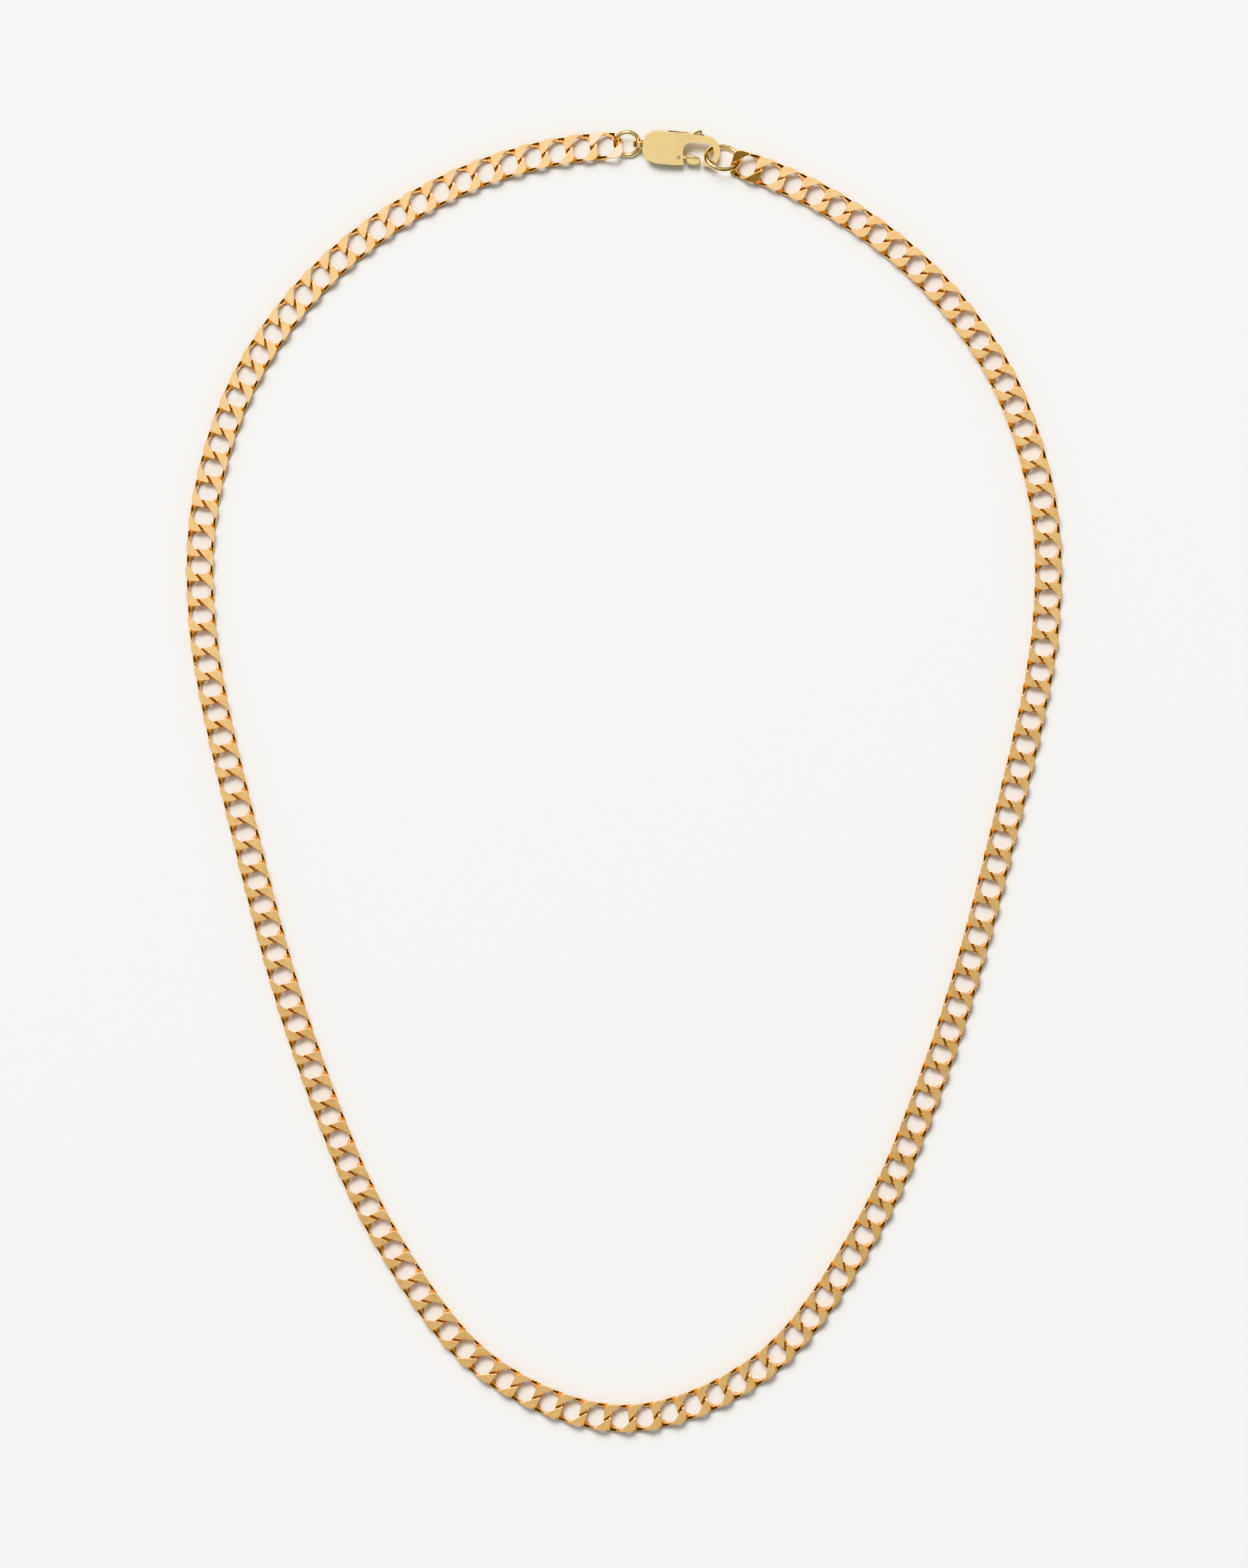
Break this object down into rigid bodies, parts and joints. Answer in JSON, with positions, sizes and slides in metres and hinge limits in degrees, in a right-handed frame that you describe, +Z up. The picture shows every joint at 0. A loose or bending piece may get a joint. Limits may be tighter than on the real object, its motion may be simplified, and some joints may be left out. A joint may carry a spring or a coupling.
{
  "type": "chain necklace",
  "caption": "Closed loop of flat-cut curb links in yellow gold, fastened by a sprung lobster clasp between two rings.",
  "frame": {"origin": "on the ground under the middle of the whole outline", "axes": "+Y towards the clasp, +X towards the end ring side, +Z up out of the plane the chain lies in"},
  "size_m": [0.1204, 0.179, 0.0031],
  "materials": {
    "chain_gold": "satin flat cut faces with polished edges",
    "clasp_gold": "polished",
    "spring_steel": "drawn wire"
  },
  "bodies": {
    "chain_run_front": {"chain_run_front": "chain_gold"},
    "chain_run_left_01": {"chain_run_left_01": "chain_gold"},
    "chain_run_left_02": {"chain_run_left_02": "chain_gold"},
    "chain_run_left_03": {"chain_run_left_03": "chain_gold"},
    "chain_run_left_04": {"chain_run_left_04": "chain_gold"},
    "chain_run_left_05": {"chain_run_left_05": "chain_gold"},
    "chain_run_left_06": {"chain_run_left_06": "chain_gold"},
    "chain_run_left_07": {"chain_run_left_07": "chain_gold"},
    "chain_run_left_08": {"chain_run_left_08": "chain_gold"},
    "chain_run_left_09": {"chain_run_left_09": "chain_gold"},
    "chain_run_left_10": {"chain_run_left_10": "chain_gold"},
    "chain_run_left_11": {"chain_run_left_11": "chain_gold"},
    "chain_run_left_12": {"chain_run_left_12": "chain_gold"},
    "chain_run_left_13": {"chain_run_left_13": "chain_gold"},
    "chain_run_left_14": {"chain_run_left_14": "chain_gold"},
    "chain_run_left_15": {"chain_run_left_15": "chain_gold"},
    "chain_run_left_16": {"chain_run_left_16": "chain_gold"},
    "chain_run_left_17": {"chain_run_left_17": "chain_gold"},
    "chain_run_left_18": {"chain_run_left_18": "chain_gold"},
    "chain_run_left_19": {"chain_run_left_19": "chain_gold"},
    "chain_run_left_20": {"chain_run_left_20": "chain_gold"},
    "chain_run_left_21": {"chain_run_left_21": "chain_gold"},
    "chain_run_left_22": {"chain_run_left_22": "chain_gold"},
    "chain_run_left_23": {"chain_run_left_23": "chain_gold"},
    "chain_run_left_24": {"chain_run_left_24": "chain_gold"},
    "chain_run_left_25": {"chain_run_left_25": "chain_gold"},
    "chain_run_left_26": {"chain_run_left_26": "chain_gold"},
    "chain_run_right_01": {"chain_run_right_01": "chain_gold"},
    "chain_run_right_02": {"chain_run_right_02": "chain_gold"},
    "chain_run_right_03": {"chain_run_right_03": "chain_gold"},
    "chain_run_right_04": {"chain_run_right_04": "chain_gold"},
    "chain_run_right_05": {"chain_run_right_05": "chain_gold"},
    "chain_run_right_06": {"chain_run_right_06": "chain_gold"},
    "chain_run_right_07": {"chain_run_right_07": "chain_gold"},
    "chain_run_right_08": {"chain_run_right_08": "chain_gold"},
    "chain_run_right_09": {"chain_run_right_09": "chain_gold"},
    "chain_run_right_10": {"chain_run_right_10": "chain_gold"},
    "chain_run_right_11": {"chain_run_right_11": "chain_gold"},
    "chain_run_right_12": {"chain_run_right_12": "chain_gold"},
    "chain_run_right_13": {"chain_run_right_13": "chain_gold"},
    "chain_run_right_14": {"chain_run_right_14": "chain_gold"},
    "chain_run_right_15": {"chain_run_right_15": "chain_gold"},
    "chain_run_right_16": {"chain_run_right_16": "chain_gold"},
    "chain_run_right_17": {"chain_run_right_17": "chain_gold"},
    "chain_run_right_18": {"chain_run_right_18": "chain_gold"},
    "chain_run_right_19": {"chain_run_right_19": "chain_gold"},
    "chain_run_right_20": {"chain_run_right_20": "chain_gold"},
    "chain_run_right_21": {"chain_run_right_21": "chain_gold"},
    "chain_run_right_22": {"chain_run_right_22": "chain_gold"},
    "chain_run_right_23": {"chain_run_right_23": "chain_gold"},
    "chain_run_right_24": {"chain_run_right_24": "chain_gold"},
    "chain_run_right_25": {"chain_run_right_25": "chain_gold"},
    "chain_run_right_26": {"chain_run_right_26": "chain_gold"},
    "tail_ring": {"tail_ring": "clasp_gold"},
    "clasp": {"clasp_body": "clasp_gold", "clasp_pivot_pin": "clasp_gold", "clasp_spring": "spring_steel"},
    "clasp_trigger": {"clasp_trigger": "clasp_gold"},
    "end_ring": {"end_ring": "clasp_gold"}
  },
  "joints": [
    {"name": "fold_left_01", "type": "hinge", "parent": "chain_run_front", "child": "chain_run_left_01", "pos_m": [-0.00226, -0.08741, 0.00085], "axis": [0.9987, 0.0506, 0], "range_deg": [-7, 7]},
    {"name": "fold_right_01", "type": "hinge", "parent": "chain_run_front", "child": "chain_run_right_01", "pos_m": [0.00448, -0.08707, 0.00085], "axis": [0.9987, 0.0506, 0], "range_deg": [-7, 7]},
    {"name": "fold_left_02", "type": "hinge", "parent": "chain_run_left_01", "child": "chain_run_left_02", "pos_m": [-0.01197, -0.08456, 0.00085], "axis": [-0.9998, 0.0203, 0], "range_deg": [-8, 8]},
    {"name": "fold_right_02", "type": "hinge", "parent": "chain_run_right_01", "child": "chain_run_right_02", "pos_m": [0.01093, -0.08503, 0.00085], "axis": [-0.9998, 0.0203, 0], "range_deg": [-8, 8]},
    {"name": "fold_left_03", "type": "hinge", "parent": "chain_run_left_02", "child": "chain_run_left_03", "pos_m": [-0.01785, -0.0812, 0.00085], "axis": [-0.9994, -0.0358, 0], "range_deg": [-9, 9]},
    {"name": "fold_right_03", "type": "hinge", "parent": "chain_run_right_02", "child": "chain_run_right_03", "pos_m": [0.01965, -0.07986, 0.00085], "axis": [-0.9994, -0.0358, 0], "range_deg": [-9, 9]},
    {"name": "fold_left_04", "type": "hinge", "parent": "chain_run_left_03", "child": "chain_run_left_04", "pos_m": [-0.02513, -0.07416, 0.00085], "axis": [0.9998, -0.0179, 0], "range_deg": [-10, 10]},
    {"name": "fold_right_04", "type": "hinge", "parent": "chain_run_right_03", "child": "chain_run_right_04", "pos_m": [0.02441, -0.07505, 0.00085], "axis": [0.9998, -0.0179, 0], "range_deg": [-10, 10]},
    {"name": "fold_left_05", "type": "hinge", "parent": "chain_run_left_04", "child": "chain_run_left_05", "pos_m": [-0.02906, -0.06864, 0.00085], "axis": [0.9995, 0.0319, 0], "range_deg": [-11, 11]},
    {"name": "fold_right_05", "type": "hinge", "parent": "chain_run_right_04", "child": "chain_run_right_05", "pos_m": [0.03027, -0.06675, 0.00085], "axis": [0.9995, 0.0319, 0], "range_deg": [-11, 11]},
    {"name": "fold_left_06", "type": "hinge", "parent": "chain_run_left_05", "child": "chain_run_left_06", "pos_m": [-0.03429, -0.05992, 0.00085], "axis": [-0.9999, 0.0148, 0], "range_deg": [-12, 12]},
    {"name": "fold_right_06", "type": "hinge", "parent": "chain_run_right_05", "child": "chain_run_right_06", "pos_m": [0.03374, -0.06093, 0.00085], "axis": [-0.9999, 0.0148, 0], "range_deg": [-12, 12]},
    {"name": "fold_left_07", "type": "hinge", "parent": "chain_run_left_06", "child": "chain_run_left_07", "pos_m": [-0.03725, -0.05383, 0.00085], "axis": [-0.9999, 0.0141, 0], "range_deg": [-13, 13]},
    {"name": "fold_right_07", "type": "hinge", "parent": "chain_run_right_06", "child": "chain_run_right_07", "pos_m": [0.03678, -0.05487, 0.00085], "axis": [-0.9999, 0.0141, 0], "range_deg": [-13, 13]},
    {"name": "fold_left_08", "type": "hinge", "parent": "chain_run_left_07", "child": "chain_run_left_08", "pos_m": [-0.04106, -0.0444, 0.00085], "axis": [0.9999, -0.0131, 0], "range_deg": [-14, 14]},
    {"name": "fold_right_08", "type": "hinge", "parent": "chain_run_right_07", "child": "chain_run_right_08", "pos_m": [0.04066, -0.04547, 0.00085], "axis": [0.9999, -0.0131, 0], "range_deg": [-14, 14]},
    {"name": "fold_left_09", "type": "hinge", "parent": "chain_run_left_08", "child": "chain_run_left_09", "pos_m": [-0.04448, -0.03483, 0.00085], "axis": [0.9988, -0.0489, 0], "range_deg": [-14, 14]},
    {"name": "fold_right_09", "type": "hinge", "parent": "chain_run_right_08", "child": "chain_run_right_09", "pos_m": [0.04299, -0.03911, 0.00085], "axis": [0.9988, -0.0489, 0], "range_deg": [-14, 14]},
    {"name": "fold_left_10", "type": "hinge", "parent": "chain_run_left_09", "child": "chain_run_left_10", "pos_m": [-0.04651, -0.02836, 0.00085], "axis": [-0.9989, 0.0472, 0], "range_deg": [-15, 15]},
    {"name": "fold_right_10", "type": "hinge", "parent": "chain_run_right_09", "child": "chain_run_right_10", "pos_m": [0.04518, -0.0327, 0.00085], "axis": [-0.9989, 0.0472, 0], "range_deg": [-15, 15]},
    {"name": "fold_left_11", "type": "hinge", "parent": "chain_run_left_10", "child": "chain_run_left_11", "pos_m": [-0.04924, -0.01857, 0.00085], "axis": [-0.999, 0.0449, 0], "range_deg": [-16, 16]},
    {"name": "fold_right_11", "type": "hinge", "parent": "chain_run_right_10", "child": "chain_run_right_11", "pos_m": [0.04807, -0.02295, 0.00085], "axis": [-0.999, 0.0449, 0], "range_deg": [-16, 16]},
    {"name": "fold_left_12", "type": "hinge", "parent": "chain_run_left_11", "child": "chain_run_left_12", "pos_m": [-0.05092, -0.012, 0.00085], "axis": [0.999, -0.0436, 0], "range_deg": [-16, 16]},
    {"name": "fold_right_12", "type": "hinge", "parent": "chain_run_right_11", "child": "chain_run_right_12", "pos_m": [0.04981, -0.0164, 0.00085], "axis": [0.999, -0.0436, 0], "range_deg": [-16, 16]},
    {"name": "fold_left_13", "type": "hinge", "parent": "chain_run_left_12", "child": "chain_run_left_13", "pos_m": [-0.05334, -0.00213, 0.00085], "axis": [0.9991, -0.0416, 0], "range_deg": [-16, 16]},
    {"name": "fold_right_13", "type": "hinge", "parent": "chain_run_right_12", "child": "chain_run_right_13", "pos_m": [0.05226, -0.00653, 0.00085], "axis": [0.9991, -0.0416, 0], "range_deg": [-16, 16]},
    {"name": "fold_left_14", "type": "hinge", "parent": "chain_run_left_13", "child": "chain_run_left_14", "pos_m": [-0.05566, 0.00777, 0.00085], "axis": [-0.9975, 0.0703, 0], "range_deg": [-16, 16]},
    {"name": "fold_right_14", "type": "hinge", "parent": "chain_run_right_13", "child": "chain_run_right_14", "pos_m": [0.05388, 0.00005, 0.00085], "axis": [-0.9975, 0.0703, 0], "range_deg": [-16, 16]},
    {"name": "fold_left_15", "type": "hinge", "parent": "chain_run_left_14", "child": "chain_run_left_15", "pos_m": [-0.05698, 0.01442, 0.00085], "axis": [-0.9976, 0.0689, 0], "range_deg": [-17, 17]},
    {"name": "fold_right_15", "type": "hinge", "parent": "chain_run_right_14", "child": "chain_run_right_15", "pos_m": [0.05542, 0.00665, 0.00085], "axis": [-0.9976, 0.0689, 0], "range_deg": [-17, 17]},
    {"name": "fold_left_16", "type": "hinge", "parent": "chain_run_left_15", "child": "chain_run_left_16", "pos_m": [-0.05813, 0.02451, 0.00085], "axis": [0.9977, -0.0681, 0], "range_deg": [-21, 21]},
    {"name": "fold_right_16", "type": "hinge", "parent": "chain_run_right_15", "child": "chain_run_right_16", "pos_m": [0.05734, 0.01664, 0.00085], "axis": [0.9977, -0.0681, 0], "range_deg": [-21, 21]},
    {"name": "fold_left_17", "type": "hinge", "parent": "chain_run_left_16", "child": "chain_run_left_17", "pos_m": [-0.05822, 0.03129, 0.00085], "axis": [0.9977, -0.0679, 0], "range_deg": [-22, 22]},
    {"name": "fold_right_17", "type": "hinge", "parent": "chain_run_right_16", "child": "chain_run_right_17", "pos_m": [0.05807, 0.02337, 0.00085], "axis": [0.9977, -0.0679, 0], "range_deg": [-22, 22]},
    {"name": "fold_left_18", "type": "hinge", "parent": "chain_run_left_17", "child": "chain_run_left_18", "pos_m": [-0.05689, 0.04135, 0.00085], "axis": [-0.9977, 0.0679, 0], "range_deg": [-20, 20]},
    {"name": "fold_right_18", "type": "hinge", "parent": "chain_run_right_17", "child": "chain_run_right_18", "pos_m": [0.0581, 0.03353, 0.00085], "axis": [-0.9977, 0.0679, 0], "range_deg": [-20, 20]},
    {"name": "fold_left_19", "type": "hinge", "parent": "chain_run_left_18", "child": "chain_run_left_19", "pos_m": [-0.05507, 0.04788, 0.00085], "axis": [-0.9977, 0.068, 0], "range_deg": [-16, 16]},
    {"name": "fold_right_19", "type": "hinge", "parent": "chain_run_right_18", "child": "chain_run_right_19", "pos_m": [0.05713, 0.04023, 0.00085], "axis": [-0.9977, 0.068, 0], "range_deg": [-16, 16]},
    {"name": "fold_left_20", "type": "hinge", "parent": "chain_run_left_19", "child": "chain_run_left_20", "pos_m": [-0.05096, 0.05716, 0.00085], "axis": [0.9953, -0.097, 0], "range_deg": [-13, 13]},
    {"name": "fold_right_20", "type": "hinge", "parent": "chain_run_right_19", "child": "chain_run_right_20", "pos_m": [0.05543, 0.04679, 0.00085], "axis": [0.9953, -0.097, 0], "range_deg": [-13, 13]},
    {"name": "fold_left_21", "type": "hinge", "parent": "chain_run_left_20", "child": "chain_run_left_21", "pos_m": [-0.04513, 0.06547, 0.00085], "axis": [0.9954, -0.0959, 0], "range_deg": [-11, 11]},
    {"name": "fold_right_21", "type": "hinge", "parent": "chain_run_right_20", "child": "chain_run_right_21", "pos_m": [0.05152, 0.05616, 0.00085], "axis": [0.9954, -0.0959, 0], "range_deg": [-11, 11]},
    {"name": "fold_left_22", "type": "hinge", "parent": "chain_run_left_21", "child": "chain_run_left_22", "pos_m": [-0.04049, 0.07041, 0.00085], "axis": [-0.9954, 0.0959, 0], "range_deg": [-10, 10]},
    {"name": "fold_right_22", "type": "hinge", "parent": "chain_run_right_21", "child": "chain_run_right_22", "pos_m": [0.04791, 0.06189, 0.00085], "axis": [-0.9954, 0.0959, 0], "range_deg": [-10, 10]},
    {"name": "fold_left_23", "type": "hinge", "parent": "chain_run_left_22", "child": "chain_run_left_23", "pos_m": [-0.03255, 0.07674, 0.00085], "axis": [-0.9922, 0.1247, 0], "range_deg": [-9, 9]},
    {"name": "fold_right_23", "type": "hinge", "parent": "chain_run_right_22", "child": "chain_run_right_23", "pos_m": [0.04365, 0.06717, 0.00085], "axis": [-0.9922, 0.1247, 0], "range_deg": [-9, 9]},
    {"name": "fold_left_24", "type": "hinge", "parent": "chain_run_left_23", "child": "chain_run_left_24", "pos_m": [-0.02674, 0.08023, 0.00085], "axis": [0.9953, -0.097, 0], "range_deg": [-8, 8]},
    {"name": "fold_right_24", "type": "hinge", "parent": "chain_run_right_23", "child": "chain_run_right_24", "pos_m": [0.03623, 0.07409, 0.00085], "axis": [0.9953, -0.097, 0], "range_deg": [-8, 8]},
    {"name": "fold_left_25", "type": "hinge", "parent": "chain_run_left_24", "child": "chain_run_left_25", "pos_m": [-0.01741, 0.08425, 0.00085], "axis": [0.9916, -0.1297, 0], "range_deg": [-8, 8]},
    {"name": "fold_right_25", "type": "hinge", "parent": "chain_run_right_24", "child": "chain_run_right_25", "pos_m": [0.03067, 0.07796, 0.00085], "axis": [0.9916, -0.1297, 0], "range_deg": [-8, 8]},
    {"name": "fold_left_26", "type": "hinge", "parent": "chain_run_left_25", "child": "chain_run_left_26", "pos_m": [-0.01088, 0.08605, 0.00085], "axis": [-0.9946, 0.1037, 0], "range_deg": [-8, 8]},
    {"name": "fold_right_26", "type": "hinge", "parent": "chain_run_right_25", "child": "chain_run_right_26", "pos_m": [0.02166, 0.08265, 0.00085], "axis": [-0.9946, 0.1037, 0], "range_deg": [-8, 8]},
    {"name": "tail_ring_roll", "type": "hinge", "parent": "chain_run_left_26", "child": "tail_ring", "pos_m": [-0.00072, 0.08746, 0.00112], "axis": [0.9884, -0.1519, -0.0073], "range_deg": [-15, 22]},
    {"name": "end_ring_roll", "type": "hinge", "parent": "chain_run_right_26", "child": "end_ring", "pos_m": [0.01555, 0.08496, 0.001], "axis": [0.9884, -0.1519, -0.0073], "range_deg": [-15, 22]},
    {"name": "clasp_roll", "type": "hinge", "parent": "tail_ring", "child": "clasp", "pos_m": [0.00209, 0.08747, 0.00133], "axis": [0.9958, -0.0853, 0.0332], "range_deg": [-3, 26]},
    {"name": "clasp_trigger_press", "type": "hinge", "parent": "clasp", "child": "clasp_trigger", "pos_m": [0.00749, 0.08571, 0.00129], "axis": [-0.0264, -0.2744, 0.9613], "range_deg": [0, 22], "stiffness_Nm_per_rad": 0.002, "springref_deg": -20.05, "deforming": ["clasp_spring"]}
  ],
  "couplings": [
    {"joint": "fold_right_01", "follows": "fold_left_01", "ratio": 1},
    {"joint": "fold_right_02", "follows": "fold_left_02", "ratio": 1},
    {"joint": "fold_right_03", "follows": "fold_left_03", "ratio": 1},
    {"joint": "fold_right_04", "follows": "fold_left_04", "ratio": 1},
    {"joint": "fold_right_05", "follows": "fold_left_05", "ratio": 1},
    {"joint": "fold_right_06", "follows": "fold_left_06", "ratio": 1},
    {"joint": "fold_right_07", "follows": "fold_left_07", "ratio": 1},
    {"joint": "fold_right_08", "follows": "fold_left_08", "ratio": 1},
    {"joint": "fold_right_09", "follows": "fold_left_09", "ratio": 1},
    {"joint": "fold_right_10", "follows": "fold_left_10", "ratio": 1},
    {"joint": "fold_right_11", "follows": "fold_left_11", "ratio": 1},
    {"joint": "fold_right_12", "follows": "fold_left_12", "ratio": 1},
    {"joint": "fold_right_13", "follows": "fold_left_13", "ratio": 1},
    {"joint": "fold_right_14", "follows": "fold_left_14", "ratio": 1},
    {"joint": "fold_right_15", "follows": "fold_left_15", "ratio": 1},
    {"joint": "fold_right_16", "follows": "fold_left_16", "ratio": 1},
    {"joint": "fold_right_17", "follows": "fold_left_17", "ratio": 1},
    {"joint": "fold_right_18", "follows": "fold_left_18", "ratio": 1},
    {"joint": "fold_right_19", "follows": "fold_left_19", "ratio": 1},
    {"joint": "fold_right_20", "follows": "fold_left_20", "ratio": 1},
    {"joint": "fold_right_21", "follows": "fold_left_21", "ratio": 1},
    {"joint": "fold_right_22", "follows": "fold_left_22", "ratio": 1},
    {"joint": "fold_right_23", "follows": "fold_left_23", "ratio": 1},
    {"joint": "fold_right_24", "follows": "fold_left_24", "ratio": 1},
    {"joint": "fold_right_25", "follows": "fold_left_25", "ratio": 1},
    {"joint": "fold_right_26", "follows": "fold_left_26", "ratio": 1},
    {"joint": "end_ring_roll", "follows": "tail_ring_roll", "ratio": 1}
  ]
}
